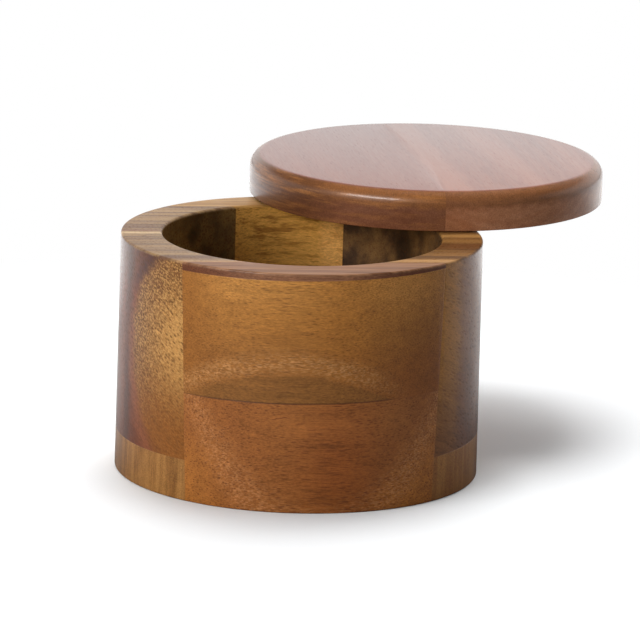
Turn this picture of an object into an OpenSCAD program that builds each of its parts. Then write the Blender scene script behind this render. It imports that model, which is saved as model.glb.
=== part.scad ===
// Round wooden spice box with a thick lid that swings aside on an upright pin.
// The body is turned from a blank of glued boards: a front slab, a back slab, and between
// them two side blocks on a base board. Front is -Y, the base stands on Z = 0, and the
// origin is the middle of the underside, on the axis of the bore.

/* [Body] */
// Height of the body from the base to the rim
body_height = 75.5; // [62:0.5:120]
// Outer diameter of the body at the base
body_diameter = 115; // [106:1:150]
// How much smaller the outer diameter is at the rim
body_taper = 1; // [0:0.5:4]
// Diameter of the bore
bore_diameter = 88; // [60:1:92]
// Thickness of the wood left under the bore
floor_thickness = 10; // [5:0.5:18]
// Radius where the wall of the bore meets its floor
floor_fillet = 2; // [0.5:0.5:6]
// Easing of the outside edges of the rim and the base
edge_easing = 0.6; // [0.2:0.1:1.5]
// Easing of the bore's edge
bore_easing = 1; // [0.2:0.1:1.5]

/* [Boards of the body] */
// Distance from the middle to the front slab's glue face, at the rim
front_glue_distance = 39.7; // [34:0.1:42]
// Outward lean of the front slab's glue face towards the base, in degrees
front_glue_lean = 2.3; // [0:0.1:3]
// Distance from the middle to the back slab's glue face
back_glue_distance = 40.4; // [34:0.1:43]
// Thickness of the base board, at the middle
base_board_thickness = 13.6; // [8:0.1:24]
// Height of the seam between the lower and upper boards of a slab, at the middle
board_seam_height = 34.8; // [26:0.1:36]
// Thickness of the dark strip along the front rim, at the middle
top_strip_thickness = 2.1; // [1.2:0.1:6]
// Rise of the level seams towards the right, in degrees
seam_slope = 0.8; // [0:0.1:1]

/* [Lid] */
// Diameter of the lid beyond that of the rim
lid_oversize = 1; // [0:0.5:6]
// Thickness of the lid
lid_thickness = 12.4; // [10:0.1:20]
// Radius of the rounding on the lid's upper edge
lid_rounding = 4.2; // [1:0.1:6]
// Easing of the lid's lower edge
lid_lower_easing = 0.3; // [0.1:0.1:1.5]
// Gap between the rim and the lid
lid_gap = 0.3; // [0.1:0.1:1]
// Distance from the lid's middle to its glue seam, towards the pin
lid_seam_distance = 4.5; // [0:0.5:20]
// Turn of the lid's boards against the body's boards when closed, in degrees
lid_seam_turn = -4; // [-15:1:15]
// How far the lid is swung open, in degrees
open_angle = 98; // [0:1:180]

/* [Pivot] */
// Diameter of the steel pin
pin_diameter = 5; // [3:0.5:6]
// How far outside the middle of the back wall's thickness the pin stands
pin_outset = 0.5; // [0:0.1:1]
// Depth of the pin in the back wall
pin_depth = 22; // [12:1:26]
// Reach of the pin above the rim, into the lid
pin_reach = 8; // [5:0.5:8.5]
// Chamfer on both ends of the pin
pin_chamfer = 0.4; // [0.1:0.1:0.8]
// Turn of the pin's place from the middle of the back wall to the left, in degrees
pin_offset_angle = 4; // [-10:1:10]
// Gap all round the glued end of the pin
glue_gap = 0.04; // [0.02:0.01:0.1]
// Gap all round the end of the pin that the lid turns on
running_gap = 0.08; // [0.02:0.01:0.1]

/* [Hidden] */
$fn = 96;

base_radius = body_diameter / 2;
rim_radius = base_radius - body_taper / 2;
bore_radius = bore_diameter / 2;
lid_radius = rim_radius + lid_oversize / 2;
pin_radius = pin_diameter / 2;

// The pin stands near the middle of the back wall's thickness.
pin_distance = (rim_radius + bore_radius) / 2 + pin_outset;
pin_x = -pin_distance * sin(pin_offset_angle);
pin_y = pin_distance * cos(pin_offset_angle);

// Size of the blocks that cut the blank apart, well beyond it every way.
block = 3 * (body_diameter + body_height);

// Flats that stand for a quarter of a round edge.
arc_steps = 5;

// How far a hole's cutter stands out of its mouth.
cutter_overrun = 1;

// Points of an arc about a centre, from one angle to another.
function arc(centre, radius, from, to) = [
    for (step = [0 : arc_steps])
        let (angle = from + (to - from) * step / arc_steps)
            centre + radius * [cos(angle), sin(angle)]
];

// The body as it leaves the lathe, before it is told apart into its boards.
module turned_body() {
    rotate_extrude()
        polygon(concat(
            [[0, 0]],
            arc([base_radius - edge_easing, edge_easing], edge_easing, -90, 0),
            arc([rim_radius - edge_easing, body_height - edge_easing], edge_easing, 0, 90),
            arc([bore_radius + bore_easing, body_height - bore_easing], bore_easing, 90, 180),
            arc([bore_radius - floor_fillet, floor_thickness + floor_fillet], floor_fillet, 0, -90),
            [[0, floor_thickness]]
        ));
}

// The lid as it leaves the lathe, closed on the rim.
module turned_lid() {
    translate([0, 0, body_height + lid_gap])
        rotate_extrude()
            polygon(concat(
                [[0, 0]],
                arc([lid_radius - lid_lower_easing, lid_lower_easing], lid_lower_easing, -90, 0),
                arc([lid_radius - lid_rounding, lid_thickness - lid_rounding], lid_rounding, 0, 90),
                [[0, lid_thickness]]
            ));
}

// Everything in front of the front slab's leaning glue face.
module front_zone() {
    translate([0, -front_glue_distance, body_height])
        rotate([-front_glue_lean, 0, 0])
            translate([-block / 2, -block, -block / 2])
                cube(block);
}

// Everything behind the back slab's upright glue face.
module back_zone() {
    translate([-block / 2, back_glue_distance, -block / 2])
        cube(block);
}

// Everything between the two slabs.
module middle_zone() {
    difference() {
        cube(block, center = true);
        front_zone();
        back_zone();
    }
}

// Everything under a seam that rises to the right.
module zone_below(height) {
    translate([0, 0, height])
        rotate([0, -seam_slope, 0])
            translate([-block / 2, -block / 2, -block])
                cube(block);
}

// Everything to the left of the middle, or to the right when side is 1.
module side_zone(side) {
    translate([side * block / 2, 0, 0])
        cube(block, center = true);
}

// Everything on the pin's side of the lid's glue seam, with the lid closed.
module lid_back_zone() {
    rotate([0, 0, lid_seam_turn])
        translate([-block / 2, lid_seam_distance, -block / 2])
            cube(block);
}

// Swings what belongs to the lid open about the pin.
module swung_open() {
    translate([pin_x, pin_y, 0])
        rotate([0, 0, open_angle])
            translate([-pin_x, -pin_y, 0])
                children();
}

// The hole for the glued end of the pin.
module wall_pin_hole() {
    translate([pin_x, pin_y, body_height - pin_depth])
        cylinder(h = pin_depth + cutter_overrun, r = pin_radius + glue_gap);
}

// The hole by which the lid turns: it ends where the pin ends, so the pin carries the lid.
module lid_pin_hole() {
    translate([pin_x, pin_y, body_height])
        cylinder(h = pin_reach, r = pin_radius + running_gap);
}

module front_lower_board() {
    color("#96552d")
        intersection() {
            turned_body();
            front_zone();
            zone_below(board_seam_height);
        }
}

module front_upper_board() {
    color("#af783c")
        difference() {
            intersection() {
                turned_body();
                front_zone();
                zone_below(body_height - top_strip_thickness);
            }
            zone_below(board_seam_height);
        }
}

module front_top_strip() {
    color("#5c3526")
        difference() {
            intersection() {
                turned_body();
                front_zone();
            }
            zone_below(body_height - top_strip_thickness);
        }
}

module back_lower_board() {
    color("#8e5a34")
        difference() {
            intersection() {
                turned_body();
                back_zone();
                zone_below(board_seam_height);
            }
            wall_pin_hole();
        }
}

module back_upper_board() {
    color("#b5823f")
        difference() {
            intersection() {
                turned_body();
                back_zone();
            }
            zone_below(board_seam_height);
            wall_pin_hole();
        }
}

// One of the two blocks between the slabs: side is -1 for left, 1 for right.
module side_block(side) {
    difference() {
        intersection() {
            turned_body();
            middle_zone();
            side_zone(side);
        }
        zone_below(base_board_thickness);
    }
}

module left_side_block() {
    color("#be9155")
        side_block(-1);
}

module right_side_block() {
    color("#6e5541")
        side_block(1);
}

module base_board() {
    color("#7d5a3a")
        intersection() {
            turned_body();
            middle_zone();
            zone_below(base_board_thickness);
        }
}

module lid_front_board() {
    color("#7e5434")
        swung_open()
            difference() {
                turned_lid();
                lid_back_zone();
            }
}

module lid_back_board() {
    color("#6e4526")
        swung_open()
            difference() {
                intersection() {
                    turned_lid();
                    lid_back_zone();
                }
                lid_pin_hole();
            }
}

module pivot_pin() {
    pin_length = pin_depth + pin_reach;
    color("silver")
        translate([pin_x, pin_y, body_height - pin_depth])
            rotate_extrude()
                polygon([
                    [0, 0],
                    [pin_radius - pin_chamfer, 0],
                    [pin_radius, pin_chamfer],
                    [pin_radius, pin_length - pin_chamfer],
                    [pin_radius - pin_chamfer, pin_length],
                    [0, pin_length]
                ]);
}

front_lower_board();
front_upper_board();
front_top_strip();
back_lower_board();
back_upper_board();
left_side_block();
right_side_block();
base_board();
lid_front_board();
lid_back_board();
pivot_pin();
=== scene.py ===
"""Looks of a round wooden spice box: turned from glued boards, with a thick lid that swings
aside on a hidden steel pin. Front is -Y, the base stands on Z = 0."""

import math
from functools import cached_property

import bmesh
import bpy
from mathutils import Matrix, Vector


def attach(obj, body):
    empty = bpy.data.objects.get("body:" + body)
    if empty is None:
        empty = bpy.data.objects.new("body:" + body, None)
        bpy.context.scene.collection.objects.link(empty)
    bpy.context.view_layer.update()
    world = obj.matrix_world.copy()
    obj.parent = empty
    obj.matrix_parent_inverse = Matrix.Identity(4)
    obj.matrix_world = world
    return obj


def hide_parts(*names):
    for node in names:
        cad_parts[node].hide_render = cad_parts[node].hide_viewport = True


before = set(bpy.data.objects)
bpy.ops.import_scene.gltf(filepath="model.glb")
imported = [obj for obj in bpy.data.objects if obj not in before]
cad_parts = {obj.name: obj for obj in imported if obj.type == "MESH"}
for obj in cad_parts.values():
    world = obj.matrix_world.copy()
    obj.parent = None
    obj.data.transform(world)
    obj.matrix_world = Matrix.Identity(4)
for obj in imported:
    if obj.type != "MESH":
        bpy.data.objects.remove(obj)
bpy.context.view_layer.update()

MM = 0.001

# Sizes of the turned body, in millimetres
FOOT_RADIUS = 57.5
RIM_RADIUS = 57.0
BODY_HEIGHT = 75.5
BORE_RADIUS = 44.0
FLOOR_THICKNESS = 10.0
FLOOR_FILLET = 2.0
EDGE_EASING = 0.6
BORE_EASING = 1.0

# Where the glue seams of the body lie, in millimetres and degrees
FRONT_SEAM = 39.7
FRONT_SEAM_LEAN = 2.3
BACK_SEAM = 40.4
BASE_SEAM_HEIGHT = 13.6
BOARD_SEAM_HEIGHT = 34.8
STRIP_THICKNESS = 2.1
SEAM_SLOPE = 0.8

# Sizes of the lid
LID_RADIUS = 57.5
LID_THICKNESS = 12.4
LID_ROUNDING = 4.2
LID_EASING = 0.3
LID_GAP = 0.3
LID_SEAM = 4.5
LID_BOARD_TURN = -4.0
LID_OPEN_ANGLE = 98.0

# The steel pin and its two holes
PIN_RADIUS = 2.5
PIN_DISTANCE = 51.0
PIN_ANGLE = 4.0
PIN_DEPTH = 22.0
PIN_REACH = 8.0
GLUE_GAP = 0.04
RUNNING_GAP = 0.08

# Fineness of the turned surfaces, and the angle from which an edge shows sharp, in degrees
TURNING_STEPS = 360
ROUNDING_STEPS = 8
DRILL_STEPS = 72
SHARP_ANGLE = 14.0

# The grooves that the glue seams leave, in millimetres. The lid's seam is flush.
GROOVE_REACH = 0.1
GROOVE_DEPTH = 0.03
LID_GROOVE_DEPTH = 0.0

# How far a drill runs past an open face, in millimetres
DRILL_OVERRUN = 5.0

# Tolerances in metres: points closer than this are welded, a cut's own, and how near a
# point is to a glue face to lie on it
WELD_DISTANCE = 1e-6
CUT_TOLERANCE = 1e-8
ON_FACE = 1e-7

PIN_PLACE = Matrix.Rotation(math.radians(PIN_ANGLE), 3, "Z") @ Vector((0, PIN_DISTANCE, 0))
LID_SWING = Matrix.Rotation(math.radians(LID_OPEN_ANGLE), 3, "Z")
LID_CENTRE = PIN_PLACE - LID_SWING @ PIN_PLACE
LID_GRAIN_ANGLE = LID_OPEN_ANGLE + LID_BOARD_TURN
LID_LOWER_FACE = BODY_HEIGHT + LID_GAP


# Steps that build node trees

BLACK = (0, 0, 0, 1)
WHITE = (1, 1, 1, 1)
BUMP_STRENGTH = 0.3


def tone(red, green, blue):
    """A colour as the eye reads it, 0 to 255, as the linear numbers a shader takes."""
    parts = []
    for part in (red, green, blue):
        share = part / 255
        parts.append(share / 12.92 if share <= 0.04045 else ((share + 0.055) / 1.055) ** 2.4)
    return (*parts, 1.0)


class Level:
    """A number that varies from place to place. Sums and products of levels add Math nodes."""

    def __init__(self, steps, socket):
        self.steps = steps
        self.socket = socket

    def __add__(self, other):
        return self.steps.math("ADD", self, other)

    def __radd__(self, other):
        return self.steps.math("ADD", other, self)

    def __sub__(self, other):
        return self.steps.math("SUBTRACT", self, other)

    def __rsub__(self, other):
        return self.steps.math("SUBTRACT", other, self)

    def __mul__(self, other):
        return self.steps.math("MULTIPLY", self, other)

    def __truediv__(self, other):
        return self.steps.math("DIVIDE", self, other)


class Steps:
    """Adds nodes to one tree. A value fed to them is a number, a colour, a socket or a Level."""

    def __init__(self, tree):
        self.tree = tree
        tree.nodes.clear()

    def feed(self, socket, value):
        if isinstance(value, Level):
            value = value.socket
        if isinstance(value, bpy.types.NodeSocket):
            self.tree.links.new(value, socket)
        else:
            socket.default_value = value

    def node(self, kind, settings=None, inputs=None):
        made = self.tree.nodes.new(kind)
        for key, value in (settings or {}).items():
            setattr(made, key, value)
        for key, value in (inputs or {}).items():
            self.feed(made.inputs[key], value)
        return made

    def math(self, operation, *values):
        made = self.node("ShaderNodeMath", {"operation": operation}, dict(enumerate(values)))
        return Level(self, made.outputs[0])

    def vector(self, operation, first, second):
        made = self.node("ShaderNodeVectorMath", {"operation": operation}, {0: first, 1: second})
        return made.outputs[0]

    def scale(self, vector, factor):
        made = self.node(
            "ShaderNodeVectorMath", {"operation": "SCALE"}, {0: vector, "Scale": factor}
        )
        return made.outputs[0]

    def split(self, place):
        parts = self.node("ShaderNodeSeparateXYZ", inputs={0: place})
        return [Level(self, part) for part in parts.outputs]

    def ramp(self, value, low, high, start=0.0, end=1.0):
        """Goes smoothly from start at low to end at high."""
        made = self.node(
            "ShaderNodeMapRange",
            {"interpolation_type": "SMOOTHSTEP"},
            {"Value": value, "From Min": low, "From Max": high, "To Min": start, "To Max": end},
        )
        return Level(self, made.outputs[0])

    def rise(self, value, low, high):
        """Goes smoothly from 0 at low to 1 at high; the other way round if high is lower."""
        if high < low:
            return 1.0 - self.ramp(value, high, low)
        return self.ramp(value, low, high)

    def band(self, value, start, end, softness):
        """1 between start and end, fading to 0 over softness on both sides."""
        rising = self.rise(value, start - softness, start + softness)
        return rising * self.rise(value, end + softness, end - softness)

    def mix(self, share, under, over):
        made = self.node("ShaderNodeMix", {"data_type": "RGBA"}, {0: share, 6: under, 7: over})
        return made.outputs[2]

    def seen_or_mirrored(self):
        """1 for camera, glossy and transmission rays, so that the white shows in shine too,
        and then 1 for camera rays alone."""
        rays = self.node("ShaderNodeLightPath").outputs
        camera = rays["Is Camera Ray"]
        shine = self.math("MAXIMUM", camera, rays["Is Glossy Ray"])
        return self.math("MAXIMUM", shine, rays["Is Transmission Ray"]), camera


class Recipe(Steps):
    """One material, over places on the object in millimetres."""

    def __init__(self, name):
        self.material = bpy.data.materials.new(name)
        self.material.use_nodes = True
        super().__init__(self.material.node_tree)
        coordinates = self.node("ShaderNodeTexCoord")
        self.place = self.scale(coordinates.outputs["Object"], 1 / MM)
        self.x, self.y, self.z = self.split(self.place)

    def from_axis(self):
        """Distance from the upright axis through the middle of the bore."""
        return self.math("SQRT", self.x * self.x + self.y * self.y)

    def along_grain(self, turn, lift, centre):
        """A board's own frame: X along the fibres, turned in plan and lifted, in degrees."""
        angles = (0, math.radians(-lift), math.radians(turn))
        made = self.node(
            "ShaderNodeMapping",
            {"vector_type": "TEXTURE"},
            {"Vector": self.place, "Location": centre, "Rotation": angles},
        )
        return made.outputs[0]

    def stretch(self, place, length, width, height=None):
        """Scales a place so that one unit is length by width by height millimetres."""
        return self.vector("MULTIPLY", place, (1 / length, 1 / width, 1 / (height or width)))

    def noise(self, place, detail=3.0, roughness=0.6):
        made = self.node(
            "ShaderNodeTexNoise",
            {"noise_dimensions": "3D"},
            {"Vector": place, "Scale": 1.0, "Detail": detail, "Roughness": roughness},
        )
        return Level(self, made.outputs["Fac"])

    def cells(self, place):
        """Distance to the nearest of many scattered points."""
        made = self.node(
            "ShaderNodeTexVoronoi",
            {"voronoi_dimensions": "3D", "feature": "F1"},
            {"Vector": place, "Scale": 1.0},
        )
        return Level(self, made.outputs["Distance"])

    def principled(self, colour, inputs, relief, depth):
        """Ends the tree in a Principled shader with a relief that many millimetres deep."""
        bump = self.node(
            "ShaderNodeBump",
            inputs={"Height": relief, "Distance": depth * MM, "Strength": BUMP_STRENGTH},
        )
        shader = self.node(
            "ShaderNodeBsdfPrincipled",
            inputs={"Base Color": colour, **inputs, "Normal": bump.outputs[0]},
        )
        return self.end(shader)

    def end(self, shader):
        self.node("ShaderNodeOutputMaterial", inputs={"Surface": shader.outputs[0]})
        return self.material


# Woods

# Varnish, and the fine texture that all boards share, with the pores' depth in millimetres
COAT_WEIGHT = 1.0
COAT_ROUGHNESS = 0.2
WOOD_IOR = 1.3
WOOD_ROUGHNESS = 0.42
GRIT_CONTRAST = 0.5
PORE_DEPTH = 0.1

# The rim's streaked face: how far below the rim it starts and is complete, in millimetres,
# how much it hides of the board, how much less its texture shows, and how dull its varnish is
RIM_START = 1.1
RIM_COMPLETE = 0.1
RIM_COVER = 0.9
RIM_POLISH = 0.8
RIM_DULLNESS = 0.9

# How far the bore's lining fades into a board, in millimetres from the wall
LINING_START = 2.0
LINING_END = 5.0

# A seed moves a board's grain by this many millimetres, so that no two boards are alike
SEED_STEP = (37, 53, 71)


class Timber(Recipe):
    """One board's wood: fibres, pores and streaks in its own grain frame, under a varnish."""

    def __init__(self, name, seed, turn=0.0, lift=0.0, pore_length=7.0, pore_spacing=0.75):
        super().__init__(name)
        self.grain = self.along_grain(turn, lift, [step * seed for step in SEED_STEP])
        self.pore_length = pore_length
        self.pore_spacing = pore_spacing
        self.polished = 0.0
        self.coat = COAT_WEIGHT

    @cached_property
    def streaks(self):
        return self.grained(55.0, 2.4)

    @cached_property
    def clouds(self):
        return self.grained(60.0, 14.0, 2.0, 0.5)

    @cached_property
    def ragged(self):
        """Makes an edge uneven: it is from -0.5 to 0.5."""
        return self.grained(14.0, 3.0) - 0.5

    @cached_property
    def stipple(self):
        """Fine dots, as where light catches the ends of fibres."""
        return self.rise(self.grained(self.pore_length * 0.35, 0.5, 1.0, 0.5), 0.42, 0.62)

    def grained(self, length, width, detail=3.0, roughness=0.6):
        """Soft spots of length by width millimetres that lie along the fibres."""
        return self.noise(self.stretch(self.grain, length, width), detail, roughness)

    def distance_from(self, place, width=1.0, depth=1.0, height=1.0):
        """Millimetres from a place, each way divided by that much."""
        offset = self.vector("SUBTRACT", self.place, place)
        offset = self.stretch(offset, width, depth, height)
        made = self.node("ShaderNodeVectorMath", {"operation": "LENGTH"}, {0: offset})
        return Level(self, made.outputs["Value"])

    def knot(self, place, radius, height=1.0):
        """A soft spot, 1 at its middle, as where a branch grew."""
        distance = self.distance_from(place, height=height)
        return self.rise(distance + self.ragged * 2.0, radius, radius * 0.2)

    def pores(self, size=0.36, patch=0.46):
        """Dark open pores: dots in end grain, dashes along the fibres."""
        field = self.cells(self.stretch(self.grain, self.pore_length, self.pore_spacing))
        patches = self.rise(self.grained(18.0, 4.0, 2.0), patch - 0.12, patch + 0.12)
        return self.rise(field, size, size * 0.3) * (0.25 + patches * 0.75)

    def rings(self, distance, width):
        """Growth rings of uneven strength, about width apart, over a distance across them."""
        made = self.node("ShaderNodeCombineXYZ", inputs={0: distance / width})
        return self.rise(self.noise(made.outputs[0], 2.0, 0.7), 0.42, 0.66)

    def stripes(self, length, width, height, low=0.36, high=0.64):
        """Bands straight along X, whatever way this board's fibres run."""
        field = self.noise(self.stretch(self.place, length, width, height), roughness=0.65)
        return self.rise(field, low, high)

    def near_bore(self, reach=LINING_END):
        """1 at the bore's wall, and 0 that many millimetres behind it."""
        return self.rise(self.from_axis(), BORE_RADIUS + reach, BORE_RADIUS + LINING_START)

    def lined(self, colour, length, low, dark, light):
        """Gives the bore's wall blotches of that length, dark where the noise is under low."""
        blotches = self.rise(self.grained(length, 7.0), low, 1.0 - low)
        return self.mix(self.near_bore(), colour, self.mix(blotches, dark, light))

    def rim_layer(self, colour, dark, light, streaks=()):
        """The streaked top face of the rim. A streak runs along X: (start, end, colour)."""
        top = self.rise(self.z, BODY_HEIGHT - RIM_START, BODY_HEIGHT - RIM_COMPLETE)
        fine = self.stripes(70.0, 0.8, 30.0, 0.36, 0.62)
        broad = self.stripes(90.0, 3.0, 40.0, 0.4, 0.6)
        streaked = self.mix(fine * 0.4 + broad * 0.6, dark, light)
        for start, end, shade in streaks:
            place = self.y + self.ragged * 1.5
            streaked = self.mix(self.band(place, start, end, 0.9) * 0.7, streaked, shade)
        self.polished = top * RIM_POLISH
        self.coat = COAT_WEIGHT - top * RIM_DULLNESS
        return self.mix(top * RIM_COVER, colour, streaked)

    def varnished(self, colour, pores, pore_colour, pore_share=0.5, fibre_contrast=0.4,
                  streak_contrast=0.2):
        """Lays fibres, streaks and pores over the board's colour and ends the material.
        Where the board is polished, up to 1, they show less."""
        fibres = self.grained(self.pore_length * 1.3, 0.4, roughness=0.65)
        grit = self.grained(1.2, 0.36, 2.0)
        texture = (
            (fibres - 0.5) * fibre_contrast * 2
            + (grit - 0.5) * GRIT_CONTRAST * 2
            + (self.streaks - 0.5) * streak_contrast * 2
        )
        worked = self.scale(colour, 1.0 + texture * (1.0 - self.polished))
        worked = self.mix(pores * pore_share * (1.0 - self.polished), worked, pore_colour)
        finish = {
            "Roughness": WOOD_ROUGHNESS + (fibres - 0.5) * 0.25 + pores * 0.15,
            "IOR": WOOD_IOR,
            "Coat Weight": self.coat,
            "Coat Roughness": COAT_ROUGHNESS,
            "Coat IOR": WOOD_IOR,
        }
        relief = (fibres * 0.5 - pores) * (1.0 - self.polished)
        return self.principled(worked, finish, relief, PORE_DEPTH)


def front_glue_line(wood, reach):
    """The dark line of the front slab's seam, from the seam up to reach, or down if it is
    below 0. The seam rises a little to the right."""
    height = wood.z - wood.x * math.tan(math.radians(SEAM_SLOPE)) - BOARD_SEAM_HEIGHT
    return wood.rise(height, reach, 0.0) * wood.band(wood.x, -37, 24, 6)


def golden_front_wood():
    """Golden board, redder to the right, with a dark lens at its foot and a pale arc above."""
    wood = Timber("golden_front_wood", turn=-8.5, seed=0.3, pore_length=5.0, pore_spacing=0.6)
    ring = wood.z + (wood.y + wood.x * 0.149) * 0.9 + wood.ragged * 2.6
    colour = wood.mix(wood.rise(wood.z, 40, 68), tone(144, 91, 40), tone(178, 120, 54))
    colour = wood.mix(wood.rise(wood.z, 61, 70) * 0.6, colour, tone(204, 144, 72))
    colour = wood.mix(wood.clouds * 0.5, colour, tone(166, 107, 44))
    colour = wood.mix(wood.rise(wood.x, -25, -41) * 0.8, colour, tone(146, 91, 36))
    red_end = wood.rise(wood.x - (wood.z - 38.0) * 0.6 + wood.ragged * 8.0, -4, 34)
    red_share = red_end * (0.65 - wood.rise(wood.z, 38, 60) * 0.35)
    colour = wood.mix(red_share, colour, tone(141, 77, 29))
    warm_middle = wood.band(wood.x + wood.ragged * 6.0, 0, 18, 9)
    colour = wood.mix(warm_middle * 0.35, colour, tone(158, 96, 26))
    figure = wood.grained(70.0, 6.0)
    colour = wood.mix(wood.rise(figure, 0.45, 0.75) * 0.3, colour, tone(138, 84, 32))
    pale = wood.band(ring, -7.4, -1.8, 3.0) * wood.rise(wood.x, 34, 10)
    colour = wood.mix(pale * (0.08 + wood.stipple * 0.42), colour, tone(206, 150, 94))
    lens = wood.rise(ring, -7.6, -9.6)
    colour = wood.mix(lens * 0.7, colour, tone(126, 83, 38))
    colour = wood.mix(front_glue_line(wood, 0.4) * 0.8, colour, tone(64, 40, 24))
    colour = wood.rim_layer(colour, tone(104, 66, 40), tone(150, 104, 70))
    return wood.varnished(colour, wood.pores(0.38, 0.45), tone(98, 58, 22), 0.55, 0.55, 0.35)


def reddish_front_wood():
    """Reddish board with a pale ring on either side and golden ends."""
    wood = Timber("reddish_front_wood", turn=2.3, seed=0.7)
    ring = wood.z - (wood.y - wood.x * 0.04) * 2.67 + wood.ragged * 8.0
    colour = wood.mix(wood.clouds, tone(142, 84, 37), tone(154, 93, 43))
    left_end = wood.rise(wood.x, -22, -40) * (0.8 - wood.rise(wood.z, 10, 26) * 0.7)
    colour = wood.mix(left_end, colour, tone(170, 106, 44))
    gold_end = wood.rise(wood.x - wood.z * 0.9 + wood.ragged * 6.0, 6, 28)
    colour = wood.mix(gold_end * 0.8, colour, tone(182, 112, 44))
    red_middle = wood.band(wood.x + wood.ragged * 8.0, -2, 20, 10)
    colour = wood.mix(red_middle * 0.6, colour, tone(140, 72, 22))
    upper = wood.rise(wood.z + wood.ragged * 6.0, 16, 31) * wood.band(wood.x, -14, 30, 12)
    colour = wood.mix(upper * 0.28, colour, tone(176, 112, 56))
    pale = wood.band(ring, 139.0, 153.0, 7.0)
    colour = wood.mix(pale * (0.06 + wood.stipple * 0.45), colour, tone(200, 136, 84))
    colour = wood.mix(front_glue_line(wood, -0.4) * 0.7, colour, tone(66, 36, 22))
    return wood.varnished(colour, wood.pores(0.4, 0.44), tone(90, 42, 18), 0.6, 0.55, 0.4)


def dark_strip_wood():
    """Thin dark strip, paler in the middle."""
    wood = Timber("dark_strip_wood", seed=1.1)
    middle = wood.band(wood.x, -26, 18, 12)
    colour = wood.mix(middle, tone(106, 60, 36), tone(150, 102, 72))
    colour = wood.mix(wood.stripes(50.0, 1.4, 0.5) * 0.5, colour, tone(96, 56, 36))
    colour = wood.rim_layer(colour, tone(100, 64, 42), tone(160, 116, 84))
    return wood.varnished(colour, wood.pores(0.34, 0.45), tone(60, 32, 20), 0.5)


def left_block_wood():
    """Dark reddish heart round a golden, freckled oval beside the front slab."""
    wood = Timber("left_block_wood", turn=-55, lift=-31, seed=1.6, pore_length=2.0,
                  pore_spacing=0.9)
    across = (wood.y + 50.0) / 31.0
    upper = (wood.z - 49.0) / 31.0
    lower = (wood.z - 49.0) / 44.0
    up = wood.math("MAXIMUM", upper, 0.0) + wood.math("MINIMUM", lower, 0.0)
    reach = wood.math("SQRT", across * across + up * up) + wood.ragged * 0.16
    low = wood.rise(wood.z, 50, 18)
    golden = wood.mix(wood.rise(reach, 0.25, 0.88), tone(190, 138, 75), tone(120, 77, 38))
    golden = wood.mix(wood.stipple * 0.5, golden, tone(218, 166, 96))
    golden = wood.mix(low * 0.9, golden, tone(137, 81, 29))
    heart = wood.mix(wood.streaks, tone(102, 48, 24), tone(136, 70, 36))
    heart = wood.mix(wood.rings(reach, 0.11) * 0.45, heart, tone(82, 46, 32))
    heart = wood.mix(low * 0.6, heart, tone(100, 50, 24))
    # Painted shade: the heart darker towards the rim
    heart = wood.mix(wood.rise(wood.z, 58, 72) * 0.5, heart, tone(76, 48, 34))
    heart = wood.mix(wood.rise(wood.y, 2, 24) * 0.7, heart, tone(132, 84, 50))
    dark_ring = wood.band(wood.y + wood.ragged * 3.0, -17.5, -12.5, 2.0)
    heart = wood.mix(dark_ring * 0.6, heart, tone(66, 42, 34))
    blush = wood.band(reach, 0.98, 1.12, 0.06) * wood.rise(wood.z, 60, 48)
    heart = wood.mix(blush * 0.6, heart, tone(146, 86, 52))
    shadow = wood.band(reach, 1.0, 1.12, 0.06) * wood.rise(wood.z, 60, 68)
    heart = wood.mix(shadow * 0.7, heart, tone(74, 44, 40))
    colour = wood.mix(wood.rise(reach, 1.06, 0.92), heart, golden)
    colour = wood.lined(colour, 16.0, 0.3, tone(80, 60, 34), tone(124, 95, 50))
    colour = wood.mix(wood.knot((-32, 30, 68), 4.5) * 0.8, colour, tone(34, 22, 14))
    colour = wood.rim_layer(colour, tone(104, 78, 60), tone(166, 134, 94), [
        (-0.1, 1.9, tone(226, 196, 150)),
        (3.2, 4.6, tone(112, 64, 54)),
        (7.5, 10.5, tone(92, 62, 52)),
        (-36.0, -31.5, tone(98, 68, 54)),
        (-40.5, -37.5, tone(178, 138, 98)),
    ])
    eye = wood.distance_from((-46.1, -4.4, BODY_HEIGHT), 1.2, 1.0, 4.0)
    colour = wood.mix(wood.band(eye, 3.1, 3.7, 0.5) * 0.5, colour, tone(96, 70, 54))
    flecks = wood.pores(0.5, 0.32)
    strength = 0.35 + wood.rise(wood.z, 20, 60) * 0.45
    return wood.varnished(colour, flecks * strength, tone(90, 52, 20), 1.0, 0.2, 0.15)


def right_block_wood():
    """Dull brown block that turns golden beside the front slab."""
    wood = Timber("right_block_wood", turn=50, lift=-24, seed=2.1, pore_length=3.6,
                  pore_spacing=1.1)
    height = wood.rise(wood.z, 14, 52)
    edge = wood.y + wood.ragged * 9.0
    colour = wood.mix(wood.streaks, tone(108, 62, 36), tone(130, 80, 46))
    colour = wood.mix(height, colour, tone(146, 96, 62))
    colour = wood.mix(wood.rings(edge, 3.4) * 0.4, colour, tone(88, 48, 30))
    golden = wood.rise(edge, -29, -36) * (0.25 + height * 0.75)
    colour = wood.mix(golden, colour, tone(174, 118, 54))
    shadow = wood.band(edge, -29, -20, 4.0) * wood.rise(wood.z, 60, 30)
    colour = wood.mix(shadow * 0.4, colour, tone(98, 54, 32))
    colour = wood.lined(colour, 18.0, 0.28, tone(58, 40, 26), tone(116, 84, 48))
    colour = wood.mix(wood.knot((35.6, 25.8, 66), 6.5, 1.8) * 0.85, colour, tone(30, 20, 14))
    colour = wood.rim_layer(colour, tone(74, 45, 22), tone(142, 100, 50), [
        (-3.0, 1.5, tone(184, 136, 76)),
        (-19.5, -12.5, tone(82, 44, 18)),
        (-38.8, -35.2, tone(194, 146, 92)),
        (-48.0, -40.4, tone(118, 82, 50)),
    ])
    flecks = wood.pores(0.44, 0.42)
    return wood.varnished(colour, flecks, tone(82, 44, 20), 0.35, 0.3, 0.3)


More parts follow.
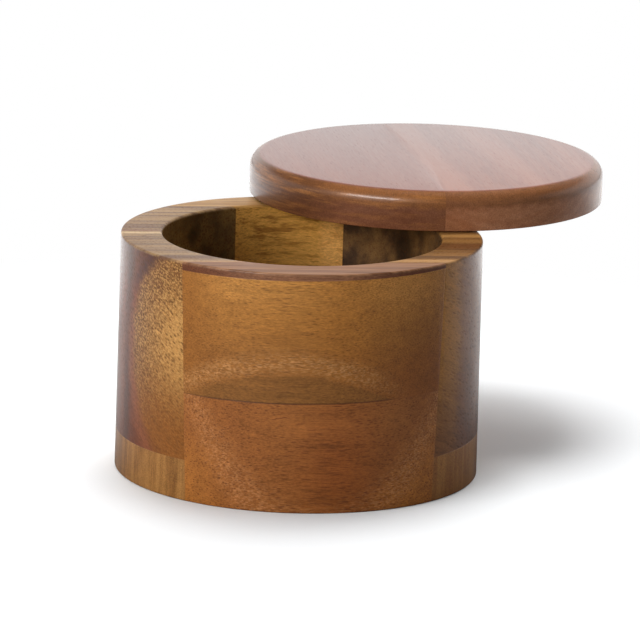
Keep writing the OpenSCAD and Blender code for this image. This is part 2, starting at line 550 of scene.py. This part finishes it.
def base_wood():
    """Board of thin layers that show as upright stripes at the sides of the foot."""
    wood = Timber("base_wood", seed=2.7)
    layers = wood.stripes(90.0, 1.2, 40.0) * 0.4 + wood.stripes(90.0, 5.0, 40.0, 0.42, 0.58) * 0.6
    left = wood.mix(layers, tone(128, 84, 40), tone(168, 118, 62))
    right = wood.mix(layers, tone(148, 94, 43), tone(174, 118, 59))
    colour = wood.mix(wood.rise(wood.x, -12, 12), left, right)
    colour = wood.mix(wood.near_bore(), colour, tone(150, 108, 58))
    return wood.varnished(colour, wood.pores(0.34, 0.5), tone(76, 48, 22), 0.45)


def brown_back_wood():
    """Brown board with one pale ring."""
    wood = Timber("brown_back_wood", turn=1.5, seed=3.2)
    ring = wood.z + (wood.y + wood.x * 0.1) * 2.1 + wood.ragged * 8.0
    colour = wood.mix(wood.clouds, tone(142, 86, 40), tone(160, 102, 48))
    pale = wood.band(ring, 118.0, 128.0, 5.0)
    colour = wood.mix(pale * (0.15 + wood.stipple * 0.3), colour, tone(190, 132, 78))
    return wood.varnished(colour, wood.pores(0.36, 0.45), tone(84, 46, 20), 0.5)


def golden_back_wood():
    """Golden board, with dark marks and a paler right end where it lines the bore."""
    wood = Timber("golden_back_wood", turn=-2.0, seed=3.8)
    colour = wood.mix(wood.clouds, tone(188, 134, 58), tone(216, 162, 80))
    bore = wood.near_bore(6.0)
    figure = wood.grained(20.0, 3.0, roughness=0.65)
    marks = wood.rise(figure, 0.48, 0.64) * (0.2 + bore * 0.55)
    colour = wood.mix(marks, colour, tone(128, 82, 30))
    pale = wood.rise(wood.x + wood.ragged * 3.0, 8.5, 12.5) * bore
    colour = wood.mix(pale * 0.4, colour, tone(232, 172, 98))
    ripples = wood.rise(wood.grained(9.0, 1.6), 0.48, 0.62)
    colour = wood.mix(ripples * pale * 0.5, colour, tone(170, 112, 50))
    colour = wood.rim_layer(colour, tone(128, 88, 46), tone(182, 142, 88))
    pores = wood.pores(0.38, 0.44) * (1.0 - pale * 0.8)
    return wood.varnished(colour, pores, tone(104, 62, 22), 0.6)


# How far below its top the lid's face starts and is complete, in millimetres, how much less
# its texture shows there, and what both of its boards share
LID_FACE_START = 0.3
LID_FACE_COMPLETE = 0.05
LID_POLISH = 0.75
LID_RING_WIDTH = 3.4
LID_BAND_TONE = tone(162, 106, 84)
LID_FLAME_TONE = tone(166, 108, 56)
LID_SEAM_TONE = tone(132, 86, 58)
# Painted shade for the lid's edge: darker towards its left end when the lid stands open, where
# the left lamps light it strongly
LID_END_SHADE_TONE = tone(80, 46, 24)


def lid_wood(name, seed, face, edge, ring_centre, flames, bands):
    """Wood of one of the lid's boards: face and edge are three colours each, and a band is
    (start, end, drift), across the board."""
    wood = Timber(name, turn=LID_GRAIN_ANGLE, seed=seed)
    middle = wood.along_grain(LID_GRAIN_ANGLE, 0, (LID_CENTRE.x, LID_CENTRE.y, LID_LOWER_FACE))
    along, across, up = wood.split(middle)
    side = across - ring_centre[0]
    rise = up - ring_centre[1]
    ring = wood.math("SQRT", side * side + rise * rise * 1.6) + wood.ragged * 6.0
    ripple = wood.math("SINE", ring * (2 * math.pi / LID_RING_WIDTH))
    crown = wood.rise(up, LID_THICKNESS - LID_FACE_START, LID_THICKNESS - LID_FACE_COMPLETE)
    curl = wood.rise(wood.noise(wood.stretch(middle, 30.0, 12.0, 5.0)), 0.35, 0.65)
    low = wood.mix(wood.rise(ripple, -0.8, 1.0) * 0.25 + curl * 0.4, edge[0], edge[1])
    beside_seam = wood.band(across, LID_SEAM - 5, LID_SEAM + 6, 7)
    low = wood.mix(beside_seam * 0.45, low, LID_SEAM_TONE)
    shoulder = wood.rise(up + wood.ragged * 3.0, 6.0, 8.5)
    low = wood.mix(shoulder * 0.7, low, edge[2])
    # Painted shade: the edge darkens towards its end farthest across the grain
    low = wood.mix(wood.rise(across, 32, 48) * 0.75, low, LID_END_SHADE_TONE)
    flame = wood.noise(wood.stretch(middle, 34.0, 14.0, 1.6), roughness=0.65)
    flame = wood.rise(flame, 0.46, 0.68) * (0.4 + shoulder * 0.6)
    low = wood.mix(flame * flames, low, LID_FLAME_TONE)
    top = wood.mix(wood.clouds, face[0], face[1])
    top = wood.mix(wood.rise(ripple, -0.6, 1.0) * 0.15, top, face[2])
    sway = wood.ragged * 6.0
    for start, end, drift in bands:
        field = across + along * drift + sway
        top = wood.mix(wood.band(field, start, end, 4.5) * 0.38, top, LID_BAND_TONE)
    # The face is scaled darker along the grain: a painted sheen gradient, lighter at the front
    # and darker at the back when the lid stands open
    colour = wood.mix(crown, low, wood.scale(top, 1.0 - along * 0.004))
    wood.polished = crown * LID_POLISH
    return wood.varnished(colour, wood.pores(0.3, 0.5), tone(70, 38, 22), 0.3, 0.35, 0.2)


def lid_dark_wood():
    return lid_wood(
        "lid_dark_wood", 0.9,
        (tone(116, 68, 54), tone(128, 76, 60), tone(146, 94, 74)),
        (tone(110, 65, 42), tone(132, 84, 58), tone(142, 90, 46)),
        (26.0, -14.0), 0.7, [(-5.0, 3.5, 0.0)],
    )


def lid_light_wood():
    return lid_wood(
        "lid_light_wood", 0.4,
        (tone(118, 68, 52), tone(132, 80, 62), tone(160, 106, 84)),
        (tone(158, 101, 66), tone(182, 125, 88), tone(118, 73, 40)),
        (-16.0, 26.0), 0.15,
        [(-5.0, 3.5, 0.0), (-29.0, -21.0, -0.06), (-50.0, -44.0, 0.0)],
    )


LATHE_MARK_DEPTH = 0.01


def pin_steel():
    steel = Recipe("pin_steel")
    lathe = steel.noise(steel.vector("MULTIPLY", steel.place, (0.4, 0.4, 9.0)))
    colour = steel.mix(lathe, tone(150, 150, 152), tone(196, 196, 198))
    finish = {"Metallic": 1.0, "Roughness": 0.22 + lathe * 0.16}
    return steel.principled(colour, finish, lathe, LATHE_MARK_DEPTH)


# Turned blanks and boards

# Radius in millimetres of the circle that carries a profile round. It only has to be above
# 0: the profile's own radii are measured from it.
PATH_RADIUS = 10.0


def new_object(name, data):
    made = bpy.data.objects.new(name, data)
    bpy.context.scene.collection.objects.link(made)
    return made


def finished_mesh(name, shape):
    """Ends a bmesh as a mesh of that name."""
    mesh = bpy.data.meshes.new(name)
    shape.to_mesh(mesh)
    shape.free()
    return mesh


def applied_mesh(piece):
    """A plain mesh of a piece as its modifiers leave it."""
    graph = bpy.context.evaluated_depsgraph_get()
    return bpy.data.meshes.new_from_object(piece.evaluated_get(graph))


def turning_tree(name, sizes, corners):
    """Geometry Nodes that round a profile's corners and turn it about the upright axis.

    Sizes are the tree's named inputs; a corner is (radius, height, rounding), each one a
    size's name, or None for nothing."""
    steps = Steps(bpy.data.node_groups.new(name, "GeometryNodeTree"))
    interface = steps.tree.interface
    interface.new_socket("Blank", in_out="OUTPUT", socket_type="NodeSocketGeometry")
    for size in sizes:
        interface.new_socket(size, in_out="INPUT", socket_type="NodeSocketFloat")
    for count in ("Turning steps", "Rounding steps"):
        interface.new_socket(count, in_out="INPUT", socket_type="NodeSocketInt")
    interface.new_socket("Wood", in_out="INPUT", socket_type="NodeSocketMaterial")
    given = steps.node("NodeGroupInput").outputs

    def worked(kind, geometry, settings=None, inputs=None):
        """The geometry after one more node."""
        return steps.node(kind, settings, {0: geometry, **(inputs or {})}).outputs[0]

    number = steps.node("GeometryNodeInputIndex").outputs[0]
    places = steps.node("GeometryNodeIndexSwitch", {"data_type": "VECTOR"}, {"Index": number})
    roundings = steps.node("GeometryNodeIndexSwitch", {"data_type": "FLOAT"}, {"Index": number})
    for switch in (places, roundings):
        while len(switch.index_switch_items) < len(corners):
            switch.index_switch_items.new()
    for corner, (radius, height, rounding) in enumerate(corners):
        outward = steps.math("SUBTRACT", given[radius] if radius else 0.0, PATH_RADIUS * MM)
        downward = steps.math("MULTIPLY", given[height] if height else 0.0, -1.0)
        place = steps.node("ShaderNodeCombineXYZ", inputs={"X": outward, "Y": downward})
        steps.feed(places.inputs[str(corner)], place.outputs[0])
        if rounding:
            steps.feed(roundings.inputs[str(corner)], given[rounding])

    points = steps.node("GeometryNodePoints", inputs={"Count": len(corners)}).outputs[0]
    points = worked("GeometryNodeSetPosition", points, None, {"Position": places.outputs[0]})
    profile = worked("GeometryNodePointsToCurves", points)
    profile = worked(
        "GeometryNodeFilletCurve", profile, {"mode": "POLY"},
        {"Radius": roundings.outputs[0], "Count": given["Rounding steps"]},
    )
    path = steps.node(
        "GeometryNodeCurvePrimitiveCircle",
        inputs={"Radius": PATH_RADIUS * MM, "Resolution": given["Turning steps"]},
    ).outputs[0]
    blank = worked("GeometryNodeCurveToMesh", path, None, {"Profile Curve": profile})
    blank = worked("GeometryNodeMergeByDistance", blank, None, {"Distance": WELD_DISTANCE})
    blank = worked("GeometryNodeFlipFaces", blank)
    blank = worked("GeometryNodeRealizeInstances", blank)
    blank = worked("GeometryNodeSetMaterial", blank, None, {"Material": given["Wood"]})
    steps.node("NodeGroupOutput", inputs={0: blank})
    return steps.tree


def turned_blank(tree, sizes, wood):
    """Runs a turning tree with these sizes in millimetres and gives back a plain mesh."""
    maker = new_object(tree.name, bpy.data.meshes.new(tree.name))
    modifier = maker.modifiers.new("turning", "NODES")
    modifier.node_group = tree
    values = {name: size * MM for name, size in sizes.items()}
    values.update({"Turning steps": TURNING_STEPS, "Rounding steps": ROUNDING_STEPS})
    values["Wood"] = wood
    for item in tree.interface.items_tree:
        if item.in_out == "INPUT":
            modifier[item.identifier] = values[item.name]
    mesh = applied_mesh(maker)
    bpy.data.objects.remove(maker)
    return mesh


def glue_plane(point, normal):
    return Vector(point) * MM, Vector(normal).normalized()


def level_plane(height, side):
    """A level seam's plane. Side 1 keeps the wood below it, and -1 the wood above."""
    slope = math.radians(SEAM_SLOPE)
    return glue_plane((0, 0, height), (-side * math.sin(slope), 0, side * math.cos(slope)))


def front_plane(side):
    """The front slab's glue face. Side 1 keeps the slab, and -1 the wood behind it."""
    lean = math.radians(FRONT_SEAM_LEAN)
    point = (0, -FRONT_SEAM, BODY_HEIGHT)
    return glue_plane(point, (0, side * math.cos(lean), -side * math.sin(lean)))


def back_plane(side):
    """The back slab's glue face. Side 1 keeps the slab, and -1 the wood before it."""
    return glue_plane((0, BACK_SEAM, 0), (0, -side, 0))


def lid_plane(side):
    """The lid's glue seam, as it lies with the lid swung open. Side 1 keeps the pin's side."""
    across = Matrix.Rotation(math.radians(LID_GRAIN_ANGLE), 3, "Z") @ Vector((0, 1, 0))
    return glue_plane(LID_CENTRE + across * LID_SEAM, across * -side)


def cut_board(mesh, planes, groove_depth):
    """Keeps what lies behind every plane, closes each glue face, and sinks its edges a
    hair so that the seam shows as a fine groove."""
    wood = bmesh.new()
    wood.from_mesh(mesh)
    skin = wood.faces.layers.int.new("skin")
    for face in wood.faces:
        face[skin] = 1

    def cut(point, normal, clear_outer):
        return bmesh.ops.bisect_plane(
            wood, geom=wood.verts[:] + wood.edges[:] + wood.faces[:], plane_co=point,
            plane_no=normal, dist=CUT_TOLERANCE, clear_outer=clear_outer,
        )["geom_cut"]

    for point, normal in planes:
        found = cut(point, normal, True)
        rim = [part for part in found if isinstance(part, bmesh.types.BMEdge)]
        if rim:
            glue_faces = bmesh.ops.holes_fill(wood, edges=rim, sides=0)["faces"]
            for face in glue_faces:
                face[skin] = 0
            bmesh.ops.triangulate(wood, faces=glue_faces)
    for point, normal in planes:
        cut(point - normal * GROOVE_REACH * MM, normal, False)
    sunk = {}
    for corner in wood.verts:
        if any(abs((corner.co - point).dot(normal)) < ON_FACE for point, normal in planes):
            outward = Vector((0, 0, 0))
            for face in corner.link_faces:
                if face[skin]:
                    outward += face.normal
            if outward.length > 0:
                sunk[corner] = corner.co - outward.normalized() * groove_depth * MM
    for corner, place in sunk.items():
        corner.co = place
    bmesh.ops.recalc_face_normals(wood, faces=wood.faces[:])
    wood.faces.layers.int.remove(skin)
    wood.to_mesh(mesh)
    wood.free()


def drill(piece, place, radius, low, high):
    """Bores a round hole from height low to height high, in millimetres."""
    shape = bmesh.new()
    middle = Matrix.Translation(Vector((place.x, place.y, (low + high) / 2)) * MM)
    bmesh.ops.create_cone(
        shape, cap_ends=True, segments=DRILL_STEPS, radius1=radius * MM, radius2=radius * MM,
        depth=(high - low) * MM, matrix=middle,
    )
    cutter = new_object("drill", finished_mesh("drill", shape))
    boring = piece.modifiers.new("boring", "BOOLEAN")
    boring.operation = "DIFFERENCE"
    boring.solver = "EXACT"
    boring.object = cutter
    bored = applied_mesh(piece)
    piece.modifiers.remove(boring)
    piece.data = bored
    bpy.data.objects.remove(cutter)


def make_board(name, body, blank, wood, planes, hole=None):
    """Turns a blank, cuts one board from it and puts it in the place of its CAD node.
    A blank is its tree and sizes, where its axis stands, and its grooves' depth."""
    tree, sizes, axis, groove_depth = blank
    mesh = turned_blank(tree, sizes, wood)
    mesh.transform(Matrix.Translation(axis * MM))
    cut_board(mesh, planes, groove_depth)
    piece = new_object(name + "_turned", mesh)
    if hole:
        drill(piece, *hole)
    for face in piece.data.polygons:
        face.use_smooth = True
    piece.data.set_sharp_from_angle(angle=math.radians(SHARP_ANGLE))
    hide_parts(name)
    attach(piece, body)


body_sizes = {
    "Foot radius": FOOT_RADIUS,
    "Rim radius": RIM_RADIUS,
    "Body height": BODY_HEIGHT,
    "Bore radius": BORE_RADIUS,
    "Floor thickness": FLOOR_THICKNESS,
    "Floor fillet": FLOOR_FILLET,
    "Edge easing": EDGE_EASING,
    "Bore easing": BORE_EASING,
}
body_corners = [
    (None, None, None),
    ("Foot radius", None, "Edge easing"),
    ("Rim radius", "Body height", "Edge easing"),
    ("Bore radius", "Body height", "Bore easing"),
    ("Bore radius", "Floor thickness", "Floor fillet"),
    (None, "Floor thickness", None),
]
lid_sizes = {
    "Lid radius": LID_RADIUS,
    "Lower face": LID_LOWER_FACE,
    "Upper face": LID_LOWER_FACE + LID_THICKNESS,
    "Lower easing": LID_EASING,
    "Upper rounding": LID_ROUNDING,
}
lid_corners = [
    (None, "Lower face", None),
    ("Lid radius", "Lower face", "Lower easing"),
    ("Lid radius", "Upper face", "Upper rounding"),
    (None, "Upper face", None),
]
body_tree = turning_tree("turned_body", body_sizes, body_corners)
lid_tree = turning_tree("turned_lid", lid_sizes, lid_corners)
body_blank = (body_tree, body_sizes, Vector((0, 0, 0)), GROOVE_DEPTH)
lid_blank = (lid_tree, lid_sizes, LID_CENTRE, LID_GROOVE_DEPTH)

front = front_plane(1)
back = back_plane(1)
under_board_seam = level_plane(BOARD_SEAM_HEIGHT, 1)
over_board_seam = level_plane(BOARD_SEAM_HEIGHT, -1)
under_strip_seam = level_plane(BODY_HEIGHT - STRIP_THICKNESS, 1)
over_strip_seam = level_plane(BODY_HEIGHT - STRIP_THICKNESS, -1)
between_slabs = [front_plane(-1), back_plane(-1)]
under_blocks = level_plane(BASE_SEAM_HEIGHT, 1)
over_base = level_plane(BASE_SEAM_HEIGHT, -1)
left_half = glue_plane((0, 0, 0), (1, 0, 0))
right_half = glue_plane((0, 0, 0), (-1, 0, 0))
pin_socket = (
    PIN_PLACE, PIN_RADIUS + GLUE_GAP, BODY_HEIGHT - PIN_DEPTH, BODY_HEIGHT + DRILL_OVERRUN
)
lid_socket = (
    PIN_PLACE, PIN_RADIUS + RUNNING_GAP, LID_LOWER_FACE - DRILL_OVERRUN, BODY_HEIGHT + PIN_REACH
)

make_board("front_lower_board", "box", body_blank, reddish_front_wood(),
           [front, under_board_seam])
make_board("front_upper_board", "box", body_blank, golden_front_wood(),
           [front, over_board_seam, under_strip_seam])
make_board("front_top_strip", "box", body_blank, dark_strip_wood(),
           [front, over_strip_seam])
make_board("back_lower_board", "box", body_blank, brown_back_wood(),
           [back, under_board_seam])
make_board("back_upper_board", "box", body_blank, golden_back_wood(),
           [back, over_board_seam], pin_socket)
make_board("left_side_block", "box", body_blank, left_block_wood(),
           [*between_slabs, over_base, left_half])
make_board("right_side_block", "box", body_blank, right_block_wood(),
           [*between_slabs, over_base, right_half])
make_board("base_board", "box", body_blank, base_wood(),
           [*between_slabs, under_blocks])
make_board("lid_front_board", "lid", lid_blank, lid_light_wood(),
           [lid_plane(-1)])
make_board("lid_back_board", "lid", lid_blank, lid_dark_wood(),
           [lid_plane(1)], lid_socket)

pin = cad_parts["pivot_pin"]
pin.data.materials.clear()
pin.data.materials.append(pin_steel())


# Floor, light and camera

# How far the photograph's camera stands to the left of the object's front, in degrees, and
# the turn that takes a place as that camera sees it into the object's frame
VIEW_ANGLE = 5.86
VIEW_TURN = Matrix.Rotation(math.radians(-VIEW_ANGLE), 3, "Z")

# The floor as the camera and shine see it, and the grey that it throws on the object
FLOOR_SIZE = 4.0
FLOOR_WHITE = (0.945, 0.965, 0.98, 1)
FLOOR_GREY = (0.4, 0.4, 0.4, 1)
# Where the floor fades to pure white round the box, in millimetres
FLOOR_FADE = (190, 300)
# How white shine shows it near the box, and what is added behind and far behind the box: the
# start and end of the rise in millimetres, and its level
FLOOR_SHINE = 0.12
SHINE_BEHIND = (-60, 140, 0.34)
SHINE_FAR_BEHIND = (180, 330, 0.52)

# The white backdrop as shine shows it: it stands behind the box and ends above it. Each row
# is where it starts and ends, as parts of a direction, and its level at both.
BACKDROP_DEPTH = (-0.5, 0.3, 0.12, 1.0)
BACKDROP_HEIGHT = (0.34, 0.5, 1.1, 0.1)
AMBIENT_LEVEL = 0.15

# Soft lamps: name, azimuth and elevation in degrees, width and height in metres, watts,
# and whether the lamp is the one that shows in shiny surfaces, which lights nothing else.
# Azimuth 0 is the camera's side and 90 the right.
LAMP_DISTANCE = 1.6
LAMP_AIM_HEIGHT = 0.04
LAMPS = [
    ("left_softbox", -48, 20, 1.1, 0.7, 21.0, False),
    ("overhead_softbox", 180, 82, 0.7, 0.7, 13.7, False),
    ("back_softbox", 180, 58, 0.7, 0.7, 7.7, False),
    ("back_left_lamp", -150, 12, 0.7, 0.7, 5.4, False),
    ("back_right_lamp", 142, 35, 0.8, 0.7, 6.7, False),
    ("left_window", -38, 32, 0.9, 0.28, 20.0, True),
]

# The photograph's camera, from the outlines of rim, base and lid: its distance from the
# middle of the underside in metres, its elevation and aim in radians, and its lens
CAMERA_DISTANCE = 31.4749 * RIM_RADIUS * MM
CAMERA_ELEVATION = 0.2587
AIM_YAW = 0.0037
AIM_PITCH = 0.2327
AIM_ROLL = 0.0299
FOCAL_PIXELS = 5640.36
FRAME_PIXELS = 640
SENSOR_WIDTH = 36
CLIP_START = 0.1
CLIP_END = 20


def make_floor():
    shape = bmesh.new()
    bmesh.ops.create_grid(shape, x_segments=1, y_segments=1, size=FLOOR_SIZE)
    floor = new_object("floor", finished_mesh("floor", shape))
    surface = Recipe("floor_white")
    seen, camera = surface.seen_or_mirrored()
    shine = FLOOR_SHINE
    for start, end, level in (SHINE_BEHIND, SHINE_FAR_BEHIND):
        shine = shine + surface.rise(surface.y, start, end) * level
    colour = surface.mix(seen, FLOOR_GREY, surface.mix(shine, BLACK, WHITE))
    colour = surface.mix(camera, colour, FLOOR_WHITE)
    matt = surface.node("ShaderNodeBsdfDiffuse", inputs={"Color": colour})
    white = surface.node("ShaderNodeEmission", inputs={"Color": WHITE, "Strength": 1.0})
    far = surface.rise(surface.from_axis(), *FLOOR_FADE) * camera
    joined = surface.node(
        "ShaderNodeMixShader", inputs={0: far, 1: matt.outputs[0], 2: white.outputs[0]}
    )
    floor.data.materials.append(surface.end(joined))


def make_surroundings():
    world = bpy.data.worlds.new("studio")
    bpy.context.scene.world = world
    world.use_nodes = True
    sky = Steps(world.node_tree)
    seen, camera = sky.seen_or_mirrored()
    coordinates = sky.node("ShaderNodeTexCoord")
    depth, height = sky.split(coordinates.outputs["Generated"])[1:]
    backdrop = sky.ramp(depth, *BACKDROP_DEPTH) * sky.ramp(height, *BACKDROP_HEIGHT)
    white = sky.math("MAXIMUM", backdrop, camera)
    strength = sky.node(
        "ShaderNodeMix", {"data_type": "FLOAT"}, {0: seen, 2: AMBIENT_LEVEL, 3: white}
    )
    background = sky.node(
        "ShaderNodeBackground", inputs={"Color": WHITE, "Strength": strength.outputs[0]}
    )
    sky.node("ShaderNodeOutputWorld", inputs={"Surface": background.outputs[0]})


def make_lamp(name, azimuth, elevation, width, height, power, mirrored):
    data = bpy.data.lights.new(name, "AREA")
    data.shape = "RECTANGLE"
    data.size = width
    data.size_y = height
    data.energy = power
    lamp = new_object(name, data)
    lamp.visible_glossy = mirrored
    lamp.visible_diffuse = not mirrored
    turn, lift = math.radians(azimuth), math.radians(elevation)
    away = VIEW_TURN @ Vector((
        math.sin(turn) * math.cos(lift), -math.cos(turn) * math.cos(lift), math.sin(lift)
    ))
    lamp.location = away * LAMP_DISTANCE + Vector((0, 0, LAMP_AIM_HEIGHT))
    lamp.rotation_mode = "QUATERNION"
    lamp.rotation_quaternion = away.to_track_quat("Z", "Y")


def make_camera():
    data = bpy.data.cameras.new("camera")
    data.sensor_width = SENSOR_WIDTH
    data.lens = SENSOR_WIDTH * FOCAL_PIXELS / FRAME_PIXELS
    data.clip_start, data.clip_end = CLIP_START, CLIP_END
    camera = new_object("camera", data)
    place = Vector((
        0, -CAMERA_DISTANCE * math.cos(CAMERA_ELEVATION),
        CAMERA_DISTANCE * math.sin(CAMERA_ELEVATION),
    ))
    ahead = Vector((
        math.sin(AIM_YAW) * math.cos(AIM_PITCH), math.cos(AIM_YAW) * math.cos(AIM_PITCH),
        -math.sin(AIM_PITCH),
    ))
    right = ahead.cross(Vector((0, 0, 1))).normalized()
    up = right.cross(ahead)
    level_right = right * math.cos(AIM_ROLL) + up * math.sin(AIM_ROLL)
    level_up = up * math.cos(AIM_ROLL) - right * math.sin(AIM_ROLL)
    axes = Matrix((level_right, level_up, -ahead)).transposed()
    camera.matrix_world = Matrix.Translation(VIEW_TURN @ place) @ (VIEW_TURN @ axes).to_4x4()
    bpy.context.scene.camera = camera


make_floor()
make_surroundings()
for lamp_row in LAMPS:
    make_lamp(*lamp_row)
make_camera()
bpy.context.scene.view_settings.view_transform = "Standard"
